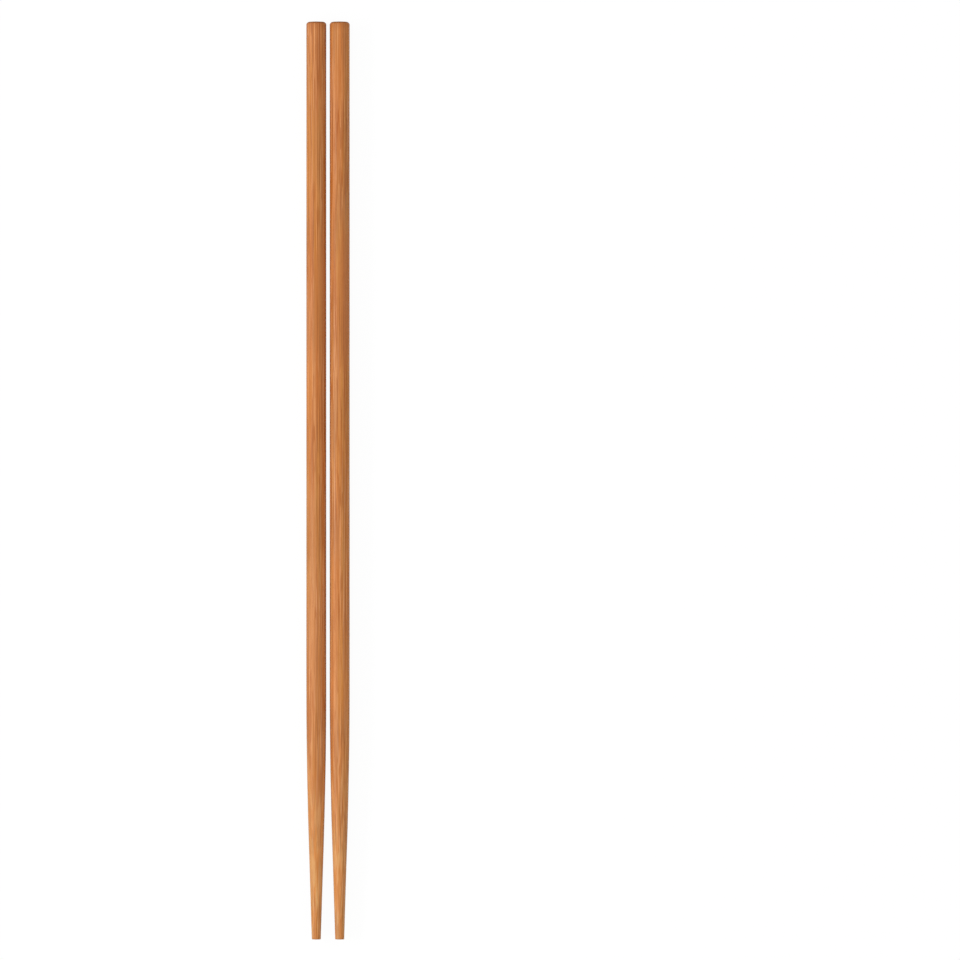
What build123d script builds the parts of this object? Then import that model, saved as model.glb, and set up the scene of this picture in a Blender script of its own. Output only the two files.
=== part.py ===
# A pair of round bamboo chopsticks, lying side by side on a table.
#
# Millimetres, +Z up. Each stick is one turned piece of bamboo. Its shank is straight and
# round from the head to about three quarters of the way down, and then runs through a long
# soft bend into a slim cone that ends in a small blunt tip. The head is cut square, with a
# faint crown and a worn, rounded rim.
#
# The origin is on the table, halfway along the sticks and between them. The sticks lie
# along Y, with their heads towards +Y and their tips towards -Y.

from build123d import *
import os
from math import atan, tan

# Sizes of one stick
length = 240.0
shank_diameter = 5.22
tip_diameter = 2.37

# The cone is as long as it would be if its side met the shank's at a corner
taper_length = 46.2

# The corner is rounded off by an arc that starts this far from it on both sides
blend_length = 19.5

# Ends of one stick
head_crown_height = 0.13
head_rim_radius = 0.8
tip_rim_radius = 0.12

# Open space between the shanks of the pair
gap_between_sticks = 0.89

# Worked out from the sizes above
shank_radius = shank_diameter / 2
tip_radius = tip_diameter / 2
head_y = length / 2
tip_y = -length / 2
corner_y = tip_y + taper_length
cone_half_angle = atan((shank_radius - tip_radius) / taper_length)
stick_pitch = shank_diameter + gap_between_sticks

# Radius of the arc that takes the corner's place
blend_radius = blend_length / tan(cone_half_angle / 2)


def make_stick(axis_x):
    """Returns one stick, turned about a line along Y that lies shank_radius above the table."""
    # In this plane x is the distance from the stick's axis and y runs along the stick
    half_section = Plane(origin=(axis_x, 0, shank_radius), x_dir=(1, 0, 0), z_dir=(0, 0, 1))

    with BuildPart() as stick:
        with BuildSketch(half_section) as profile:
            with BuildLine():
                crown_top = Vector(0, head_y)
                head_rim = Vector(shank_radius, head_y - head_crown_height)
                corner = Vector(shank_radius, corner_y)
                tip_rim = Vector(tip_radius, tip_y)
                tip_centre = Vector(0, tip_y)
                blend_start = corner + Vector(0, blend_length)
                blend_end = corner + (tip_rim - corner).normalized() * blend_length

                # Crowned head, level at its middle
                TangentArc(crown_top, head_rim, tangent=(1, 0))

                # Straight shank, soft bend and cone, each tangent to the next
                Line(head_rim, blend_start)
                TangentArc(blend_start, blend_end, tangent=(0, -1))
                Line(blend_end, tip_rim)

                # Blunt tip, and back along the stick's axis
                Line(tip_rim, tip_centre)
                Line(tip_centre, crown_top)
            make_face()
            fillet(profile.vertices().sort_by_distance(head_rim)[0], radius=head_rim_radius)
            fillet(profile.vertices().sort_by_distance(tip_rim)[0], radius=tip_rim_radius)
        revolve(axis=Axis((axis_x, 0, shank_radius), (0, 1, 0)))
    return stick


os.makedirs("parts", exist_ok=True)

for name, side in (("chopstick_left", -1), ("chopstick_right", 1)):
    chopstick = make_stick(side * stick_pitch / 2)
    chopstick.part.label = name
    export_step(chopstick.part, f"parts/{name}.step")
    print(name, "volume", round(chopstick.part.volume, 2), "mm3")

print("blend radius", round(blend_radius, 1), "mm")
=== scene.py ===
# %% [markdown]
# A pair of bamboo chopsticks
#
# The pair lies on a pale table and is seen from straight above. Each stick is turned from
# one strip of browned bamboo: a straight round shank, a soft bend into a slim cone, a
# crowned head and a small blunt tip. There are no other parts, so nearly all of the look
# comes from the turned outline and from the wood itself.
#
# The construction model already fixes where each stick lies and how large it is. This
# script makes the surface that is seen: a fine lathe-turned mesh for each stick, with
# shallow fibre grooves, and a material that knows how fibres run through the wood.

import math

import bpy
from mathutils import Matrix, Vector


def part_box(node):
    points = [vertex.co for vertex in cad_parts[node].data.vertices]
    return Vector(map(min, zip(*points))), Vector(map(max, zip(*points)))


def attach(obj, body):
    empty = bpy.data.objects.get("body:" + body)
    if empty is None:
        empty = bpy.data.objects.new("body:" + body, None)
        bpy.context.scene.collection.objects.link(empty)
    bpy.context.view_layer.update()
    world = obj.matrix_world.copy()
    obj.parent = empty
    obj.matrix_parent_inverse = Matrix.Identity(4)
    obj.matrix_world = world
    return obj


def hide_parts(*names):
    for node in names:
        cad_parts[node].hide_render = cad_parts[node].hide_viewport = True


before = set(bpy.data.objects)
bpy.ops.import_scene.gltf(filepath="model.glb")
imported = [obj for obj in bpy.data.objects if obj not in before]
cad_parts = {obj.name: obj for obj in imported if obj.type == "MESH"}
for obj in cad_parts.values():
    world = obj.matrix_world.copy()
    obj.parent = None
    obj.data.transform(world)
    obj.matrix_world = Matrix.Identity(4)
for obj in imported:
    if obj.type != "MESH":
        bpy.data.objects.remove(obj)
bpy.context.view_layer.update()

print("nodes in the model:", sorted(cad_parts))

# %% [markdown]
# Sizes
#
# The overall sizes are read from the model's own box, so the sticks here can't drift from
# it. Only the outline's details are written down, in millimetres as on a drawing.

# %% Sizes of one stick
MM = 0.001

TIP_DIAMETER = 2.37 * MM
TAPER_LENGTH = 46.2 * MM
BLEND_LENGTH = 19.5 * MM
HEAD_CROWN = 0.13 * MM
HEAD_RIM_RADIUS = 0.8 * MM
TIP_RIM_RADIUS = 0.12 * MM

low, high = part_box("chopstick_left")
length = high.y - low.y
shank_radius = (high.x - low.x) / 2
tip_radius = TIP_DIAMETER / 2
head_y = high.y
tip_y = low.y
corner_y = tip_y + TAPER_LENGTH
cone_half_angle = math.atan((shank_radius - tip_radius) / TAPER_LENGTH)
blend_radius = BLEND_LENGTH / math.tan(cone_half_angle / 2)

print(f"stick {length / MM:.1f} mm long, shank {2 * shank_radius / MM:.2f} mm across")
print(f"cone leans in by {math.degrees(cone_half_angle):.2f} degrees")
print(f"bend radius {blend_radius / MM:.0f} mm")

# %% [markdown]
# A small helper for nodes
#
# Both the geometry and the materials are made of nodes. One helper adds a node and feeds
# its inputs: a socket is linked and a plain value is typed in. Everything after this reads
# like a recipe.

# %% Node helpers


def feed(tree, socket, value):
    """Links value to socket if it is a socket itself, and types it in otherwise."""
    if isinstance(value, bpy.types.NodeSocket):
        tree.links.new(value, socket)
    else:
        socket.default_value = value


def put(tree, kind, inputs=None, **options):
    """Adds a node to tree, sets its options and feeds its inputs by name or number."""
    node = tree.nodes.new(kind)
    for name, value in options.items():
        setattr(node, name, value)
    for key, value in (inputs or {}).items():
        feed(tree, node.inputs[key], value)
    return node


def math_node(tree, operation, *values):
    """The result of a Math node."""
    return put(tree, "ShaderNodeMath", dict(enumerate(values)), operation=operation).outputs[0]


def vector_math(tree, operation, *values):
    """The vector result of a Vector Math node."""
    node = put(tree, "ShaderNodeVectorMath", dict(enumerate(values)), operation=operation)
    return node.outputs["Vector"]


def times(tree, first, *others):
    """Several values multiplied."""
    for other in others:
        first = math_node(tree, "MULTIPLY", first, other)
    return first


def ramp(tree, value, start, end):
    """value, taken smoothly from 0 at start to 1 at end, and held there outside."""
    inputs = {"Value": value, "From Min": start, "From Max": end}
    node = put(tree, "ShaderNodeMapRange", inputs, interpolation_type="SMOOTHSTEP")
    return node.outputs["Result"]


def new_socket(tree, name, kind, direction="INPUT", default=None):
    """Adds a named input or output to a node group."""
    socket = tree.interface.new_socket(name, in_out=direction, socket_type="NodeSocket" + kind)
    if default is not None:
        socket.default_value = default


print("node helpers ready")

# %% [markdown]
# How fibres run in bamboo
#
# Bamboo has no rings. Its wall is a pale ground tissue with darker bundles of fibres in it,
# all running along the culm. Cut along, a bundle shows as a streak. Cut across, as on the
# head, it shows as a dot. On the cone the cut is slanted by under two degrees, so each
# bundle comes out as a long slim ellipse, and that makes the flamed look near the tip.
#
# All three come for free if the bundles are a pattern in space and not on the surface. The
# pattern is stretched a lot along the stick: a cell pattern becomes spindles that are a
# little under half a millimetre thick and two or three centimetres long. They stand a
# little out of line, and some are thicker than others. The surface cuts most of them
# off-centre, so the streaks it shows stand further apart than the bundles do. The same
# nodes are laid into the geometry, where they cut shallow grooves, and into the material,
# where they give the colour.
#
# Lengths here are in millimetres. A bundle and its darker core each start at an edge and
# are full nearer the centre. Those distances are measured in cells.

# %% The fibre pattern
BUNDLES_PER_MM = 2.4
BUNDLE_LENGTH = 26.0
BUNDLE_EDGE = 0.60
BUNDLE_FULL = 0.15
CORE_EDGE = 0.36
CORE_FULL = 0.22
DISORDER = 0.45
UNEVENNESS = 0.16
WANDER = 0.5
WANDERS_PER_MM = 0.12
WANDER_LENGTH = 45.0


def stretched(tree, place, across, along, shift=0.0, through=None):
    """A place as pattern cells: across of them per mm sideways, and one per along mm of the stick.

    Up and down, through the stick, there are as many as across unless through says otherwise.
    """
    scale = (across, 1 / along, through or across)
    return vector_math(tree, "MULTIPLY_ADD", place, scale, (shift, shift, shift))


def noise(tree, place, detail=0.0):
    """A soft noise from 0 to 1, with one bump per cell."""
    inputs = {"Vector": place, "Scale": 1.0, "Detail": detail, "Roughness": 0.5}
    return put(tree, "ShaderNodeTexNoise", inputs)


def lay_in_culm(tree, place, given):
    """The place in the culm that a place in the stick was cut from, along drifting fibres."""
    turned = put(
        tree,
        "ShaderNodeVectorRotate",
        {"Vector": place, "Angle": given["Turn"]},
        rotation_type="Y_AXIS",
    ).outputs[0]
    place = vector_math(tree, "ADD", turned, given["Culm Place"])
    drift = noise(tree, stretched(tree, place, WANDERS_PER_MM, WANDER_LENGTH)).outputs["Color"]
    centred = vector_math(tree, "SUBTRACT", drift, (0.5, 0.5, 0.5))
    sideways = vector_math(tree, "MULTIPLY", centred, (WANDER, 0.0, WANDER))
    return vector_math(tree, "ADD", place, sideways)


def lay_bundles(tree, place, edge=BUNDLE_EDGE, full=BUNDLE_FULL):
    """1 in the middle of a fibre bundle and 0 in the ground tissue."""
    cells = put(
        tree,
        "ShaderNodeTexVoronoi",
        {
            "Vector": stretched(tree, place, BUNDLES_PER_MM, BUNDLE_LENGTH),
            "Scale": 1.0,
            "Randomness": DISORDER,
        },
        feature="F1",
    )
    own_number = put(tree, "ShaderNodeSeparateXYZ", {0: cells.outputs["Color"]}).outputs["X"]
    thinner_by = times(tree, math_node(tree, "SUBTRACT", own_number, 0.5), UNEVENNESS)
    distance = math_node(tree, "ADD", cells.outputs["Distance"], thinner_by)
    return ramp(tree, distance, edge, full)


print(f"bundles every {1 / BUNDLES_PER_MM:.2f} mm, each about {BUNDLE_LENGTH:.0f} mm long")

# %% [markdown]
# The lathe
#
# A turned stick is its outline spun about its axis, so the outline is all there is to
# draw. It has five corners: head centre, head rim, the corner where shank and cone would
# meet, tip rim and tip centre. Three of them are rounded, each by its own radius. That is
# how a turner's drawing gives it, and Fillet Curve rounds them just so.
#
# The outline is then cut into short steps, and a grid is wrapped round it: one row of
# points for each step and one column for each turn of the lathe. The grid's own unwrapping
# is kept as a UV map, so the stick opens along one line on its underside, and the map has
# no other seam.

# %% Points of the outline
ANGLE_STEPS = 144
RIM_STEPS = 10
BLEND_STEPS = 20
TIP_RIM_STEPS = 4


def index_switch(tree, kind, values):
    """Picks one of values by the index of the point that asks."""
    node = put(tree, "GeometryNodeIndexSwitch", data_type=kind)
    while len(node.index_switch_items) < len(values):
        node.index_switch_items.new()
    feed(tree, node.inputs["Index"], put(tree, "GeometryNodeInputIndex").outputs[0])
    for n, value in enumerate(values):
        feed(tree, node.inputs[str(n)], value)
    return node.outputs[0]


def outline_point(tree, radius, along):
    """A point of the outline: x is the distance from the axis and y the place along it."""
    return put(tree, "ShaderNodeCombineXYZ", {"X": radius, "Y": along}).outputs[0]


def lay_outline(tree, given):
    """The rounded outline as a curve, from the head's centre to the tip's."""
    half = times(tree, given["Length"], 0.5)
    tip = times(tree, half, -1.0)
    corner = math_node(tree, "ADD", tip, given["Taper Length"])
    corners = [
        outline_point(tree, 0.0, half),
        outline_point(tree, given["Shank Radius"], half),
        outline_point(tree, given["Shank Radius"], corner),
        outline_point(tree, given["Tip Radius"], tip),
        outline_point(tree, 0.0, tip),
    ]
    points = put(
        tree,
        "GeometryNodePoints",
        {"Count": len(corners), "Position": index_switch(tree, "VECTOR", corners)},
    )
    straight = put(tree, "GeometryNodePointsToCurves", {"Points": points.outputs[0]})
    radii = [0.0, given["Head Rim Radius"], given["Blend Radius"], given["Tip Rim Radius"], 0.0]
    steps = [1, RIM_STEPS, BLEND_STEPS, TIP_RIM_STEPS, 1]
    rounded = put(
        tree,
        "GeometryNodeFilletCurve",
        {
            "Curve": straight.outputs[0],
            "Radius": index_switch(tree, "FLOAT", radii),
            "Count": index_switch(tree, "INT", steps),
        },
        mode="POLY",
    )
    return rounded.outputs[0]


print(f"{ANGLE_STEPS} steps round the stick")

# %% [markdown]
# Steps along the outline
#
# The relief and the bake need a ring every two millimetres along the shank, but the faces
# at the ends are only a few millimetres across. So each straight run is cut into steps of
# a length that suits it. The head's crown is put in here too: the face falls away from its
# centre by the square of the distance, and the rounded rim follows it down.

# %% Steps and crown
SHANK_STEP = 2.0 * MM
FACE_STEP = 0.26 * MM


def lay_steps(tree, curve):
    """Cuts the outline's runs into steps: short ones on the end faces, longer ones elsewhere."""
    here = put(tree, "GeometryNodeInputPosition").outputs[0]
    index = put(tree, "GeometryNodeInputIndex").outputs[0]
    following = put(
        tree,
        "GeometryNodeFieldAtIndex",
        {"Index": math_node(tree, "ADD", index, 1.0), "Value": here},
        data_type="FLOAT_VECTOR",
        domain="POINT",
    ).outputs[0]
    run = put(tree, "ShaderNodeSeparateXYZ", {0: vector_math(tree, "SUBTRACT", following, here)})
    inwards = math_node(tree, "ABSOLUTE", run.outputs["X"])
    lengthways = math_node(tree, "ABSOLUTE", run.outputs["Y"])
    shank_cuts = math_node(tree, "DIVIDE", lengthways, SHANK_STEP)
    on_a_face = math_node(tree, "GREATER_THAN", inwards, lengthways)
    face_cuts = times(tree, math_node(tree, "DIVIDE", inwards, FACE_STEP), on_a_face)
    cuts = math_node(tree, "FLOOR", math_node(tree, "MAXIMUM", shank_cuts, face_cuts))
    return put(tree, "GeometryNodeSubdivideCurve", {"Curve": curve, "Cuts": cuts}).outputs[0]


def lay_crown(tree, curve, given):
    """Sinks the head's face by the square of the distance from its centre."""
    place = put(tree, "ShaderNodeSeparateXYZ", {0: put(tree, "GeometryNodeInputPosition").outputs[0]})
    half = times(tree, given["Length"], 0.5)
    rim_foot = math_node(tree, "SUBTRACT", half, given["Head Rim Radius"])
    share = math_node(tree, "DIVIDE", place.outputs["X"], given["Shank Radius"])
    fall = times(tree, math_node(tree, "POWER", share, 2.0), given["Head Crown"])
    near_head = put(
        tree,
        "ShaderNodeMapRange",
        {"Value": place.outputs["Y"], "From Min": rim_foot, "From Max": half},
    ).outputs["Result"]
    down = times(tree, fall, near_head, -1.0)
    offset = put(tree, "ShaderNodeCombineXYZ", {"Y": down}).outputs[0]
    return put(tree, "GeometryNodeSetPosition", {"Geometry": curve, "Offset": offset}).outputs[0]


print(f"a ring every {SHANK_STEP / MM:.1f} mm along the shank")

# %% [markdown]
# Spinning the outline
#
# Each grid point asks the outline for its radius and its place along the stick, and turns
# them by its column's angle. Column 0 and the last column meet on the underside and are
# merged there, and so are the points that fall together at the two poles.

# %% Spin
MERGE_DISTANCE = 0.001 * MM


def lay_spin(tree, outline):
    """A closed surface: the outline spun about the Y axis, with its map and the two ends marked."""
    rings = put(tree, "GeometryNodeCurveToPoints", {"Curve": outline}, mode="EVALUATED").outputs[0]
    counted = put(tree, "GeometryNodeAttributeDomainSize", {0: rings}, component="POINTCLOUD")
    ring_count = counted.outputs["Point Count"]
    grid = put(
        tree,
        "GeometryNodeMeshGrid",
        {"Vertices X": ANGLE_STEPS + 1, "Vertices Y": ring_count},
    )
    index = put(tree, "GeometryNodeInputIndex").outputs[0]
    midway = math_node(tree, "ADD", index, 0.5)
    column = math_node(tree, "FLOOR", math_node(tree, "DIVIDE", midway, ring_count))
    ring = math_node(tree, "SUBTRACT", index, times(tree, column, ring_count))
    on_outline = put(
        tree,
        "GeometryNodeSampleIndex",
        {
            "Geometry": rings,
            "Value": put(tree, "GeometryNodeInputPosition").outputs[0],
            "Index": ring,
        },
        data_type="FLOAT_VECTOR",
        domain="POINT",
    ).outputs[0]
    spot = put(tree, "ShaderNodeSeparateXYZ", {0: on_outline})
    angle = times(tree, column, math.tau / ANGLE_STEPS)
    radius = spot.outputs["X"]
    sideways = times(tree, math_node(tree, "SINE", angle), radius)
    upwards = times(tree, math_node(tree, "COSINE", angle), radius, -1.0)
    turned = put(
        tree,
        "ShaderNodeCombineXYZ",
        {"X": sideways, "Y": spot.outputs["Y"], "Z": upwards},
    ).outputs[0]
    mapped = put(
        tree,
        "GeometryNodeStoreNamedAttribute",
        {"Geometry": grid.outputs["Mesh"], "Name": "OFBake", "Value": grid.outputs["UV Map"]},
        data_type="FLOAT2",
        domain="CORNER",
    )
    placed = put(
        tree,
        "GeometryNodeSetPosition",
        {"Geometry": mapped.outputs[0], "Position": turned},
    )
    closed = put(
        tree,
        "GeometryNodeMergeByDistance",
        {"Geometry": placed.outputs[0], "Distance": MERGE_DISTANCE},
    )
    normal = put(tree, "GeometryNodeInputNormal").outputs[0]
    lengthways = put(tree, "ShaderNodeSeparateXYZ", {0: normal}).outputs["Y"]
    marked = put(
        tree,
        "GeometryNodeStoreNamedAttribute",
        {
            "Geometry": closed.outputs[0],
            "Name": "end_grain",
            "Value": math_node(tree, "ABSOLUTE", lengthways),
        },
        data_type="FLOAT",
        domain="POINT",
    )
    return marked.outputs[0]


print("spin ready")

# %% [markdown]
# Grooves and place
#
# Sanding takes the soft ground tissue down a little faster than the hard bundles, so a
# finished stick isn't quite round: it has long shallow flutes, here about a hundredth of a
# millimetre deep. They only cut inwards, so the stick never grows past its model. The
# last step moves the stick to its own axis above the table.

# %% Grooves and place
GROOVE_DEPTH = 0.014 * MM


def lay_grooves(tree, surface, given):
    """Sinks the ground tissue between the bundles, but not on the end faces."""
    position = put(tree, "GeometryNodeInputPosition").outputs[0]
    in_mm = vector_math(tree, "DIVIDE", position, (MM, MM, MM))
    bundles = lay_bundles(tree, lay_in_culm(tree, in_mm, given))
    ground = math_node(tree, "SUBTRACT", 1.0, bundles)
    end_grain = put(
        tree,
        "GeometryNodeInputNamedAttribute",
        {"Name": "end_grain"},
        data_type="FLOAT",
    ).outputs[0]
    on_side = math_node(tree, "SUBTRACT", 1.0, end_grain)
    depth = times(tree, ground, on_side, -GROOVE_DEPTH)
    normal = put(tree, "GeometryNodeInputNormal").outputs[0]
    offset = put(tree, "ShaderNodeVectorMath", {0: normal, "Scale": depth}, operation="SCALE")
    cut = put(
        tree,
        "GeometryNodeSetPosition",
        {"Geometry": surface, "Offset": offset.outputs["Vector"]},
    )
    moved = put(
        tree,
        "GeometryNodeTransform",
        {"Geometry": cut.outputs[0], "Translation": given["Axis Place"]},
    )
    return moved.outputs[0]


print(f"grooves up to {1000 * GROOVE_DEPTH / MM:.0f} thousandths of a millimetre deep")

# %% [markdown]
# The finished tree
#
# The pieces above become one Geometry Nodes tree. Its sizes are named inputs, so the same
# tree turns both sticks, and a stick of another size needs only other numbers.

# %% Build the tree
STICK_SIZES = {
    "Length": length,
    "Shank Radius": shank_radius,
    "Tip Radius": tip_radius,
    "Taper Length": TAPER_LENGTH,
    "Blend Radius": blend_radius,
    "Head Crown": HEAD_CROWN,
    "Head Rim Radius": HEAD_RIM_RADIUS,
    "Tip Rim Radius": TIP_RIM_RADIUS,
}


def build_stick_tree():
    """The Geometry Nodes tree that turns one stick."""
    tree = bpy.data.node_groups.new("turned_stick", "GeometryNodeTree")
    new_socket(tree, "Mesh", "Geometry", "OUTPUT")
    for name in STICK_SIZES:
        new_socket(tree, name, "Float", default=STICK_SIZES[name])
    new_socket(tree, "Axis Place", "Vector")
    new_socket(tree, "Culm Place", "Vector")
    new_socket(tree, "Turn", "Float")
    new_socket(tree, "Finish", "Material")
    given = put(tree, "NodeGroupInput").outputs
    outline = lay_crown(tree, lay_steps(tree, lay_outline(tree, given)), given)
    stick = lay_grooves(tree, lay_spin(tree, outline), given)
    smooth = put(tree, "GeometryNodeSetShadeSmooth", {"Geometry": stick, "Shade Smooth": True})
    single = put(tree, "GeometryNodeRealizeInstances", {"Geometry": smooth.outputs[0]})
    finished = put(
        tree,
        "GeometryNodeSetMaterial",
        {"Geometry": single.outputs[0], "Material": given["Finish"]},
    )
    put(tree, "NodeGroupOutput", {"Mesh": finished.outputs[0]})
    return tree


stick_tree = build_stick_tree()
print("the tree has", len(stick_tree.nodes), "nodes")

# %% [markdown]
# Colours of browned bamboo
#
# Pale bamboo is steamed under pressure until the sugars in it brown. The ground tissue
# comes out uneven: lighter or deeper, more orange or more tan, and here and there a little
# rosy or olive. Dark bundles and thin pale fibres differ from the ground by about equal
# steps of red, green and blue, which is why they look neutral on it.
#
# Colours are written as they look on a screen, and turned into the linear values that
# light is worked out with.

# %% Colours


def screen_colour(red, green, blue):
    """A colour as seen on a screen, from 0 to 255, in linear light."""

    def linear(level):
        share = level / 255
        return share / 12.92 if share <= 0.04045 else ((share + 0.055) / 1.055) ** 2.4

    return (linear(red), linear(green), linear(blue), 1.0)


LIGHT_GROUND = screen_colour(200, 138, 78)
DEEP_GROUND = screen_colour(187, 111, 44)
ORANGE_GROUND = screen_colour(202, 123, 49)
TAN_GROUND = screen_colour(182, 122, 72)
ROSY_GROUND = screen_colour(197, 112, 66)
OLIVE_GROUND = screen_colour(190, 129, 55)
RUBBED_ORANGE = screen_colour(176, 104, 52)
TIP_HONEY = screen_colour(214, 164, 104)
TIP_ORANGE = screen_colour(210, 140, 73)
PALE_ORANGE = screen_colour(224, 157, 101)
PALE_TAN = screen_colour(216, 156, 112)
BUNDLE_ORANGE = screen_colour(161, 80, 14)
BUNDLE_BROWN = screen_colour(153, 81, 24)
BUNDLE_DARK = screen_colour(96, 50, 22)
# painted shade for the rounded rims at the ends, partly darker end wood
RIM_SHADE_BROWN = screen_colour(84, 44, 24)

print("ground colour in linear light:", [round(part, 3) for part in LIGHT_GROUND[:3]])

# %% [markdown]
# Patterns in the wood
#
# Between the bundles the wood is uneven too, in long soft streaks of many widths. Painted on
# the surface, they would stop at the rim and stretch on the cone. So they are patterns in
# space like the bundles, each the same soft noise, stretched along the fibres.
#
# A row below says how many cells a pattern has per millimetre across the stick, and through
# it where that differs, and how many millimetres long a cell is. Then come the noise level
# where the pattern starts, the level where it is full, and a shift, so that no two fall
# together.
#
# The slow ones colour the ground tissue. The fine ones are streaks: dark lines and dashes,
# pale fibres, faint hairs and tiny pores. Two more steer the streaks: streaky says where
# they show, and straw picks their colour.

# %% Patterns
PATTERNS = {
    "bands": dict(across=0.45, through=2.0, along=75.0, start=0.35, full=0.65, shift=8.7, detail=1.0),
    "tint": dict(across=0.80, along=50.0, start=0.36, full=0.64, shift=3.1),
    "rosy": dict(across=0.50, along=40.0, start=0.38, full=0.62, shift=12.4),
    "flames": dict(across=1.0, through=2.6, along=12.0, start=0.42, full=0.58, shift=9.3, detail=1.0),
    "streaky": dict(across=0.16, along=26.0, start=0.36, full=0.58, shift=5.3),
    "straw": dict(across=1.6, along=28.0, start=0.40, full=0.60, shift=2.6),
    "lines": dict(across=3.9, along=30.0, start=0.44, full=0.64, shift=1.9, detail=1.0),
    "dashes": dict(across=3.8, along=7.0, start=0.54, full=0.68, shift=11.2),
    "pale": dict(across=3.6, along=34.0, start=0.46, full=0.66, shift=6.4, detail=1.0),
    "hairs": dict(across=7.0, along=10.0, start=0.35, full=0.70, shift=4.2, detail=1.0),
    "pores": dict(across=11.0, along=3.0, start=0.64, full=0.76, shift=7.7),
}


def lay_pattern(tree, place, across, along, start, full, shift, detail=0.0, through=None):
    """One pattern: 0 where it is absent and 1 where it is full."""
    cells = stretched(tree, place, across, along, shift, through)
    return ramp(tree, noise(tree, cells, detail).outputs[0], start, full)


def lay_patterns(tree, place):
    """All patterns by name, with the fibre bundles and their darker cores."""
    wood = {name: lay_pattern(tree, place, **numbers) for name, numbers in PATTERNS.items()}
    wood["bundles"] = lay_bundles(tree, place)
    wood["cores"] = lay_bundles(tree, place, CORE_EDGE, CORE_FULL)
    return wood


print(len(PATTERNS), "patterns beside the bundles")

# %% [markdown]
# The ground tissue
#
# Three slow patterns each mix two ground colours. Above the middle lies a patch that looks
# rubbed, a shade deeper than the wood round it. In the photograph the lower half is a shade
# more golden than the upper one, and the cone turns lighter and yellower still, in flames,
# perhaps because it is cut deeper into the strip. A step halfway and a ramp to the tip do
# the same.
#
# Places are in millimetres from the middle of the stick. The patch's size is given from its
# centre to its edge.

# %% Ground tissue
ORANGE_TAN_SHARE = 0.48
OLIVE_ROSY_SHARE = 0.25
RUBBED_PLACE = (1.2, 48.0, 1.8)
RUBBED_SIZE = (2.2, 24.0, 3.0)
RUBBED_CORE = 0.6
RUBBED_SHARE = 0.60
GOLDEN_START = 15.0
GOLDEN_FULL = -5.0
GOLDEN_SHARE = 0.13
LIGHTER_BEFORE = 40.0
TIP_SHARE = 0.80


def mix(tree, share, below, above):
    """Two colours mixed: below where share is 0 and above where it is 1."""
    inputs = {0: share, 6: below, 7: above}
    return put(tree, "ShaderNodeMix", inputs, data_type="RGBA").outputs[2]


def lay_towards_tip(tree, lengthways, given):
    """0 on the shank, rising along the bend and the cone to 1 at the tip."""
    tip = times(tree, given["Half Length"], -1.0)
    lighter_from = math_node(tree, "ADD", given["Taper Start"], LIGHTER_BEFORE)
    return ramp(tree, lengthways, lighter_from, tip)


def lay_rubbed(tree, place):
    """1 in the rubbed patch and 0 round it."""
    off_patch = vector_math(tree, "SUBTRACT", place, RUBBED_PLACE)
    off_patch = vector_math(tree, "DIVIDE", off_patch, RUBBED_SIZE)
    distance = put(tree, "ShaderNodeVectorMath", {0: off_patch}, operation="LENGTH")
    return ramp(tree, distance.outputs["Value"], 1.0, RUBBED_CORE)


def lay_ground(tree, wood, rubbed, lengthways, towards_tip):
    """Colour of the ground tissue."""
    orange_or_tan = mix(tree, wood["tint"], ORANGE_GROUND, TAN_GROUND)
    olive_or_rosy = mix(tree, wood["rosy"], OLIVE_GROUND, ROSY_GROUND)
    honey = mix(tree, wood["flames"], TIP_ORANGE, TIP_HONEY)
    golden = times(tree, ramp(tree, lengthways, GOLDEN_START, GOLDEN_FULL), GOLDEN_SHARE)
    lighter = times(tree, towards_tip, TIP_SHARE)
    colour = mix(tree, wood["bands"], LIGHT_GROUND, DEEP_GROUND)
    colour = mix(tree, ORANGE_TAN_SHARE, colour, orange_or_tan)
    colour = mix(tree, OLIVE_ROSY_SHARE, colour, olive_or_rosy)
    colour = mix(tree, times(tree, rubbed, RUBBED_SHARE), colour, RUBBED_ORANGE)
    return mix(tree, math_node(tree, "MAXIMUM", golden, lighter), colour, honey)


print(f"the wood starts to lighten {LIGHTER_BEFORE:.0f} mm above the cone's corner")

# %% [markdown]
# Streaks
#
# On real sticks the streaks don't show evenly, and laid on evenly they would look printed.
# So how far they show is worked out first. They come and go over two or three centimetres,
# they are mostly rubbed away in the patch, and they fade a little towards the tip. The end
# faces have none, because there the fibres are cut across.

# %% Streaks
LEAST_SHOW = 0.55
RUBBED_SHOW = 0.20
TIP_SHOW = 0.66
BUNDLE_DARKNESS = 0.7
DARK_SHARE = 0.66
PALE_SHARE = 0.75
HAIR_SHARE = 0.14
PORE_SHARE = 0.25


def between(tree, value, at_0, at_1):
    """at_0 where value is 0, at_1 where it is 1, and in proportion between."""
    return math_node(tree, "MULTIPLY_ADD", value, at_1 - at_0, at_0)


def lay_dark(tree, wood):
    """The dark streaks: lines, bundles and dashes, whichever is darkest."""
    dark = math_node(tree, "MAXIMUM", wood["lines"], times(tree, wood["bundles"], BUNDLE_DARKNESS))
    return math_node(tree, "MAXIMUM", dark, wood["dashes"])


def lay_show(tree, wood, rubbed, towards_tip, on_side):
    """How far the streaks show, from 0 to 1."""
    come_and_go = between(tree, wood["streaky"], LEAST_SHOW, 1.0)
    worn = between(tree, rubbed, 1.0, RUBBED_SHOW)
    faded = between(tree, towards_tip, 1.0, TIP_SHOW)
    return times(tree, come_and_go, worn, faded, on_side)


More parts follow.
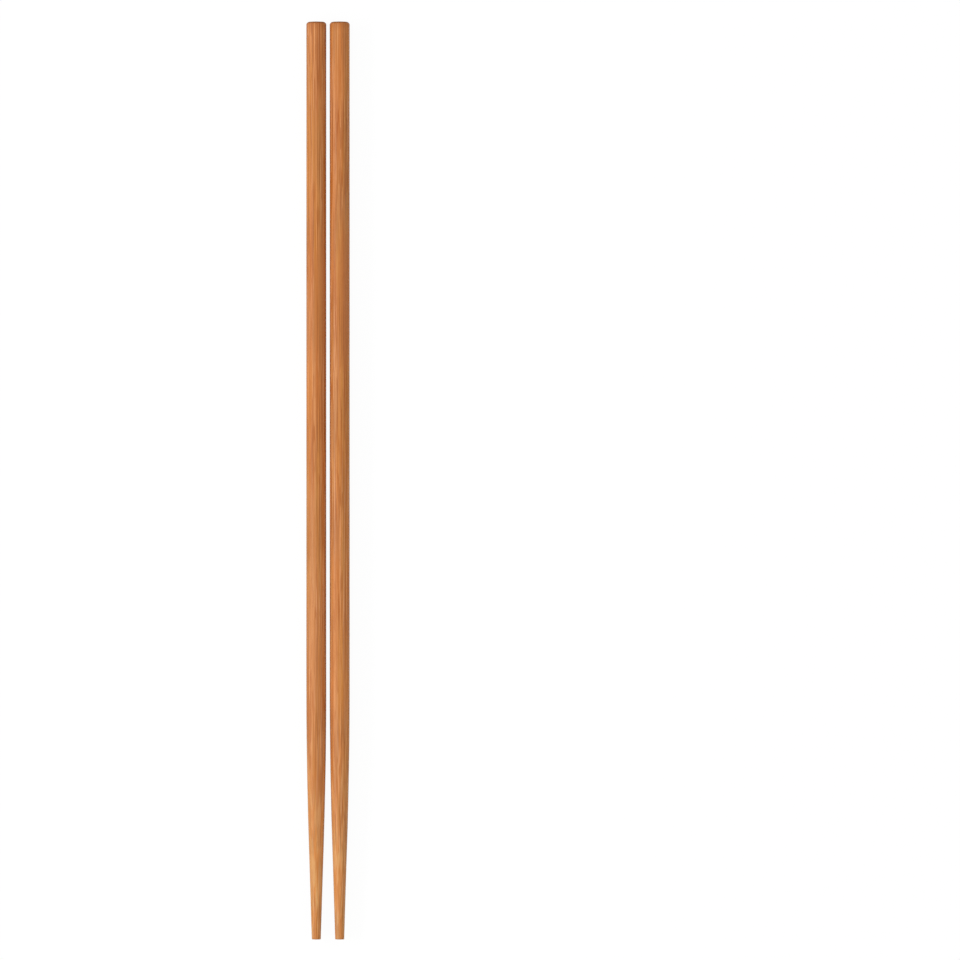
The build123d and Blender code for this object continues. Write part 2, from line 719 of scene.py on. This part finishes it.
def lay_streaks(tree, wood, dark, show, colour):
    """colour with pale fibres, dark bundles, hairs and pores over it."""
    pale_fibre = mix(tree, wood["straw"], PALE_TAN, PALE_ORANGE)
    dark_fibre = mix(tree, wood["straw"], BUNDLE_BROWN, BUNDLE_ORANGE)
    colour = mix(tree, times(tree, wood["pale"], show, PALE_SHARE), colour, pale_fibre)
    colour = mix(tree, times(tree, dark, show, DARK_SHARE), colour, dark_fibre)
    colour = mix(tree, times(tree, wood["hairs"], HAIR_SHARE), colour, BUNDLE_BROWN)
    return mix(tree, times(tree, wood["pores"], PORE_SHARE), colour, BUNDLE_BROWN)


print(f"streaks keep {100 * TIP_SHOW:.0f} percent of their strength at the tip")

# %% [markdown]
# Ends
#
# On the end faces the bundles' dark cores show as dots. In the photograph the wood deepens
# over the last millimetres below the head, and the rim of the head is dark. The dark rim is
# painted shade where the rounded rim turns away from the light, partly darker end wood, so it
# is painted strongest on the rim's side and weaker on the face. The tip shows only a trace of
# both. The ends could have a material of their own, but they are the same piece of wood. So
# the deeper wood and the painted rim shade are mixed in by the distance from the end, with no
# seam. Dark fibres take them over a slightly shorter length, which makes their edge ragged.
#
# Distances are in millimetres from the end. Only the head's half is told from the tip's by
# the place from the middle.

# %% Ends
CORE_ON_SIDE = 0.22
CORE_ON_FACE = 0.72
HEAD_HALF_START = -10.0
HEAD_HALF_FULL = 10.0
DEEPER_START = 3.0
DEEPER_FULL = 0.5
DEEPER_SHARE = 0.32
RIM_START = 0.62
RIM_FULL = 0.25
RIM_SHARE = 0.85
RIM_SHARE_ON_FACE = 0.30
RIM_AT_TIP = 0.20
RAGGEDNESS = 0.12


def lay_ends(tree, wood, dark, face, half_length, lengthways, colour):
    """colour with the bundles' cores, the deeper wood below the head and painted shade on the rims.
    """
    core_share = times(tree, wood["cores"], between(tree, face, CORE_ON_SIDE, CORE_ON_FACE))
    colour = mix(tree, core_share, colour, BUNDLE_DARK)
    from_middle = math_node(tree, "ABSOLUTE", lengthways)
    from_end = math_node(tree, "SUBTRACT", half_length, from_middle)
    from_end = math_node(tree, "MULTIPLY_ADD", dark, RAGGEDNESS, from_end)
    at_head = ramp(tree, lengthways, HEAD_HALF_START, HEAD_HALF_FULL)
    deeper = times(tree, ramp(tree, from_end, DEEPER_START, DEEPER_FULL), at_head, DEEPER_SHARE)
    colour = mix(tree, deeper, colour, BUNDLE_BROWN)
    # painted shade on the rims: full on the rounded side, weaker on the end face, a trace at the tip
    rim = ramp(tree, from_end, RIM_START, RIM_FULL)
    at_this_end = between(tree, at_head, RIM_AT_TIP, 1.0)
    on_this_side = between(tree, face, RIM_SHARE, RIM_SHARE_ON_FACE)
    return mix(tree, times(tree, rim, at_this_end, on_this_side), colour, RIM_SHADE_BROWN)


print(f"wood deepens over {DEEPER_START:.0f} mm below the head")

# %% [markdown]
# The bamboo group
#
# One node group holds the wood, and both sticks use it with their own place in the culm,
# so that no two sticks show the same streaks. It takes a place in millimetres from the
# stick's axis, and gives out colour, roughness and the height of the finest relief.

# %% Bamboo group
FACE_START = 0.55
FACE_FULL = 0.90
ROUGHNESS = 0.46
BUNDLE_ROUGHNESS = -0.06
HAIR_ROUGHNESS = 0.10
FACE_ROUGHNESS = 0.25
BUNDLE_HEIGHT = 0.4
HAIR_HEIGHT = -0.5
PORE_HEIGHT = -0.6


def lay_relief(tree, wood, face):
    """Roughness and height: bundles are smooth and stand up, hairs and pores are sunk."""
    roughness = math_node(tree, "MULTIPLY_ADD", wood["bundles"], BUNDLE_ROUGHNESS, ROUGHNESS)
    roughness = math_node(tree, "MULTIPLY_ADD", wood["hairs"], HAIR_ROUGHNESS, roughness)
    roughness = math_node(tree, "MULTIPLY_ADD", face, FACE_ROUGHNESS, roughness)
    height = times(tree, wood["hairs"], HAIR_HEIGHT)
    height = math_node(tree, "MULTIPLY_ADD", wood["bundles"], BUNDLE_HEIGHT, height)
    height = math_node(tree, "MULTIPLY_ADD", wood["pores"], PORE_HEIGHT, height)
    return roughness, height


def build_bamboo_group():
    """Colour, roughness and height of browned bamboo at a place in the wood."""
    tree = bpy.data.node_groups.new("browned_bamboo", "ShaderNodeTree")
    new_socket(tree, "Place", "Vector")
    new_socket(tree, "Culm Place", "Vector")
    new_socket(tree, "Turn", "Float")
    new_socket(tree, "End Grain", "Float", default=0.0)
    new_socket(tree, "Half Length", "Float", default=head_y / MM)
    new_socket(tree, "Taper Start", "Float", default=corner_y / MM)
    new_socket(tree, "Colour", "Color", "OUTPUT")
    new_socket(tree, "Roughness", "Float", "OUTPUT")
    new_socket(tree, "Height", "Float", "OUTPUT")
    given = put(tree, "NodeGroupInput").outputs

    lengthways = put(tree, "ShaderNodeSeparateXYZ", {0: given["Place"]}).outputs["Y"]
    towards_tip = lay_towards_tip(tree, lengthways, given)
    face = ramp(tree, given["End Grain"], FACE_START, FACE_FULL)
    on_side = math_node(tree, "SUBTRACT", 1.0, face)

    wood = lay_patterns(tree, lay_in_culm(tree, given["Place"], given))
    rubbed = lay_rubbed(tree, given["Place"])
    dark = lay_dark(tree, wood)
    show = lay_show(tree, wood, rubbed, towards_tip, on_side)
    colour = lay_ground(tree, wood, rubbed, lengthways, towards_tip)
    colour = lay_streaks(tree, wood, dark, show, colour)
    colour = lay_ends(tree, wood, dark, face, given["Half Length"], lengthways, colour)
    roughness, height = lay_relief(tree, wood, face)
    put(tree, "NodeGroupOutput", {"Colour": colour, "Roughness": roughness, "Height": height})
    return tree


bamboo_group = build_bamboo_group()
print("the bamboo group has", len(bamboo_group.nodes), "nodes")

# %% [markdown]
# One material for each stick
#
# A Mapping node turns the object's coordinates into millimetres from that stick's own
# axis. The shader itself stays in the material: a satin surface, as on bamboo that is
# sanded and rubbed but not varnished. Each stick is turned by the same angle in its culm.

# %% Stick materials
BUMP_DEPTH = 0.012 * MM
SHINE = 0.25
TURN = math.radians(25.0)


def build_bamboo_material(name, axis_place, culm_place):
    """The finish of one stick, centred on its own axis."""
    material = bpy.data.materials.new(name)
    material.use_nodes = True
    tree = material.node_tree
    shader = tree.nodes["Principled BSDF"]
    shader.inputs["Specular IOR Level"].default_value = SHINE
    place = put(
        tree,
        "ShaderNodeMapping",
        {
            "Vector": put(tree, "ShaderNodeTexCoord").outputs["Object"],
            "Location": -axis_place / MM,
            "Scale": (1 / MM, 1 / MM, 1 / MM),
        },
    )
    end_grain = put(tree, "ShaderNodeAttribute", attribute_name="end_grain")
    wood = put(tree, "ShaderNodeGroup", node_tree=bamboo_group)
    feed(tree, wood.inputs["Place"], place.outputs[0])
    feed(tree, wood.inputs["Culm Place"], culm_place)
    feed(tree, wood.inputs["Turn"], TURN)
    feed(tree, wood.inputs["End Grain"], end_grain.outputs["Fac"])
    bump = put(
        tree,
        "ShaderNodeBump",
        {"Height": wood.outputs["Height"], "Distance": BUMP_DEPTH, "Strength": 1.0},
    )
    feed(tree, shader.inputs["Base Color"], wood.outputs["Colour"])
    feed(tree, shader.inputs["Roughness"], wood.outputs["Roughness"])
    feed(tree, shader.inputs["Normal"], bump.outputs["Normal"])
    return material


print("bamboo material ready")

# %% [markdown]
# Turn the pair
#
# The modifier's inputs are set by each socket's identifier before anything is worked out.
# The result is then copied to a plain mesh, because a finished piece holds no modifier.

# %% Turn the pair
CULM_PLACES = {
    "chopstick_left": Vector((3.7, 151.0, 8.2)),
    "chopstick_right": Vector((12.4, 147.0, 10.9)),
}


def run_lathe(values):
    """The plain mesh that the stick tree turns from these input values."""
    host = bpy.data.objects.new("lathe", bpy.data.meshes.new("blank"))
    lathe = host.modifiers.new("lathe", "NODES")
    lathe.node_group = stick_tree
    for item in stick_tree.interface.items_tree:
        if item.in_out == "INPUT":
            lathe[item.identifier] = values[item.name]
    bpy.context.scene.collection.objects.link(host)
    evaluated = host.evaluated_get(bpy.context.evaluated_depsgraph_get())
    mesh = bpy.data.meshes.new_from_object(evaluated)
    bpy.data.objects.remove(host)
    return mesh


def turn_stick(node_name):
    """One stick as a plain mesh object, in the place of its CAD node."""
    low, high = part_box(node_name)
    axis_place = Vector(((low.x + high.x) / 2, 0.0, (low.z + high.z) / 2))
    culm_place = CULM_PLACES[node_name]
    side = node_name.split("_")[1]
    finish = build_bamboo_material(f"browned_bamboo_{side}", axis_place, culm_place)
    places = {"Axis Place": axis_place, "Culm Place": culm_place, "Turn": TURN}
    mesh = run_lathe({**STICK_SIZES, **places, "Finish": finish})
    mesh.name = f"turned_stick_{side}"
    piece = bpy.data.objects.new(f"turned_stick_{side}", mesh)
    bpy.context.scene.collection.objects.link(piece)
    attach(piece, "root")
    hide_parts(node_name)
    triangles = sum(len(face.vertices) - 2 for face in mesh.polygons)
    maps = [layer.name for layer in mesh.uv_layers]
    print(piece.name, "has", triangles, "triangles and the maps", maps)


for node_name in sorted(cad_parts):
    turn_stick(node_name)

# %% [markdown]
# Table and background
#
# The sticks were photographed on plain white. The table is a pale matt sheet, and to the
# eye it is lifted almost to white, so the soft shadow under the sticks stays but is faint.
# The lift is only for what is seen, directly or as a reflection. The light that the table
# throws back on the sticks has a tone of its own, and a low one, because the sides of the
# sticks stay dark close to the table in the photograph.

# %% Table and world
TABLE_SIZE = 4.0
SEEN_LIFT = 0.95
SEEN_TONE = 0.05
BOUNCE_TONE = 0.15
WORLD_LIGHT = 0.85


def seen_share(tree):
    """1 on camera, mirror and see-through rays, and 0 on the rays that carry light."""
    rays = put(tree, "ShaderNodeLightPath").outputs
    mirror_or_glass = math_node(tree, "MAXIMUM", rays["Is Glossy Ray"], rays["Is Transmission Ray"])
    return math_node(tree, "MAXIMUM", rays["Is Camera Ray"], mirror_or_glass)


def build_table():
    """A large pale sheet at the height that the sticks lie on."""
    half = TABLE_SIZE / 2
    corners = [(-half, -half, 0), (half, -half, 0), (half, half, 0), (-half, half, 0)]
    mesh = bpy.data.meshes.new("table")
    mesh.from_pydata(corners, [], [(0, 1, 2, 3)])
    material = bpy.data.materials.new("pale_paper")
    material.use_nodes = True
    tree = material.node_tree
    tree.nodes.clear()
    seen = seen_share(tree)
    tone = put(
        tree,
        "ShaderNodeMapRange",
        {"Value": seen, "To Min": BOUNCE_TONE, "To Max": SEEN_TONE},
    ).outputs[0]
    paper = put(tree, "ShaderNodeBsdfDiffuse", {"Color": tone})
    lift = put(
        tree,
        "ShaderNodeEmission",
        {"Strength": times(tree, seen, SEEN_LIFT)},
    )
    both = put(tree, "ShaderNodeAddShader", {0: paper.outputs[0], 1: lift.outputs[0]})
    put(tree, "ShaderNodeOutputMaterial", {"Surface": both.outputs[0]})
    mesh.materials.append(material)
    table = bpy.data.objects.new("table", mesh)
    bpy.context.scene.collection.objects.link(table)


def build_world():
    """Even light from all round, and plain white where it is seen."""
    world = bpy.data.worlds.new("studio")
    world.use_nodes = True
    tree = world.node_tree
    strength = put(
        tree,
        "ShaderNodeMapRange",
        {"Value": seen_share(tree), "To Min": WORLD_LIGHT, "To Max": 1.0},
    )
    background = tree.nodes["Background"]
    background.inputs["Color"].default_value = (1.0, 1.0, 1.0, 1.0)
    feed(tree, background.inputs["Strength"], strength.outputs[0])
    bpy.context.scene.world = world


build_table()
build_world()
print(f"world light {WORLD_LIGHT}, light back from the table {BOUNCE_TONE}")

# %% [markdown]
# Lamp
#
# The brightest line on each shank lies a quarter of the way in from the left, and the
# right side is about half as bright. So one lamp stands to the left, and the even light of
# the world fills in from all round. The lamp is far longer than the sticks are, so that the
# light is even from head to tip. Across them it is narrow: the lower part of a wide lamp
# would be hidden from the right stick by the left one.

# %% Lamp
KEY_ANGLE = 57.0
KEY_DISTANCE = 0.9
KEY_WIDTH = 0.15
KEY_LENGTH = 0.9
KEY_POWER = 4.9


def add_key_lamp():
    """A lamp in the plane across the sticks, to the left of straight up."""
    lamp = bpy.data.lights.new("key_lamp", "AREA")
    lamp.shape = "RECTANGLE"
    lamp.size = KEY_WIDTH
    lamp.size_y = KEY_LENGTH
    lamp.energy = KEY_POWER
    tilt = math.radians(KEY_ANGLE)
    holder = bpy.data.objects.new("key_lamp", lamp)
    holder.location = (-math.sin(tilt) * KEY_DISTANCE, 0.0, math.cos(tilt) * KEY_DISTANCE)
    holder.rotation_euler = (0.0, -tilt, 0.0)
    bpy.context.scene.collection.objects.link(holder)


add_key_lamp()
print(f"key lamp {KEY_ANGLE:.0f} degrees to the left")

# %% [markdown]
# Camera
#
# The photograph looks straight down, with no visible perspective, so a long lens is set
# far above. The pair fills the picture's height and lies left of its middle. The camera
# moves sideways for that, and isn't turned, so both sticks are still seen from above.

# %% Camera
PICTURE_SIZE = 960
HEAD_PIXEL = 21.65
TIP_PIXEL = 939.3
PAIR_PIXEL = 328.0
LENS = 300.0
SENSOR = 36.0
NEAR_CLIP = 0.01
FAR_CLIP = 20.0

metres_per_pixel = length / (TIP_PIXEL - HEAD_PIXEL)
picture_width = PICTURE_SIZE * metres_per_pixel
axis_height = shank_radius
camera_data = bpy.data.cameras.new("camera")
camera_data.lens = LENS
camera_data.sensor_width = SENSOR
camera = bpy.data.objects.new("camera", camera_data)
camera.location = (
    (PICTURE_SIZE / 2 - PAIR_PIXEL) * metres_per_pixel,
    ((HEAD_PIXEL + TIP_PIXEL) / 2 - PICTURE_SIZE / 2) * metres_per_pixel,
    axis_height + picture_width * LENS / SENSOR,
)
camera_data.clip_start = NEAR_CLIP
camera_data.clip_end = FAR_CLIP
bpy.context.scene.collection.objects.link(camera)
bpy.context.scene.camera = camera
bpy.context.scene.view_settings.view_transform = "Standard"

print(f"camera {camera.location.z:.3f} m up, {picture_width / MM:.1f} mm across the picture")
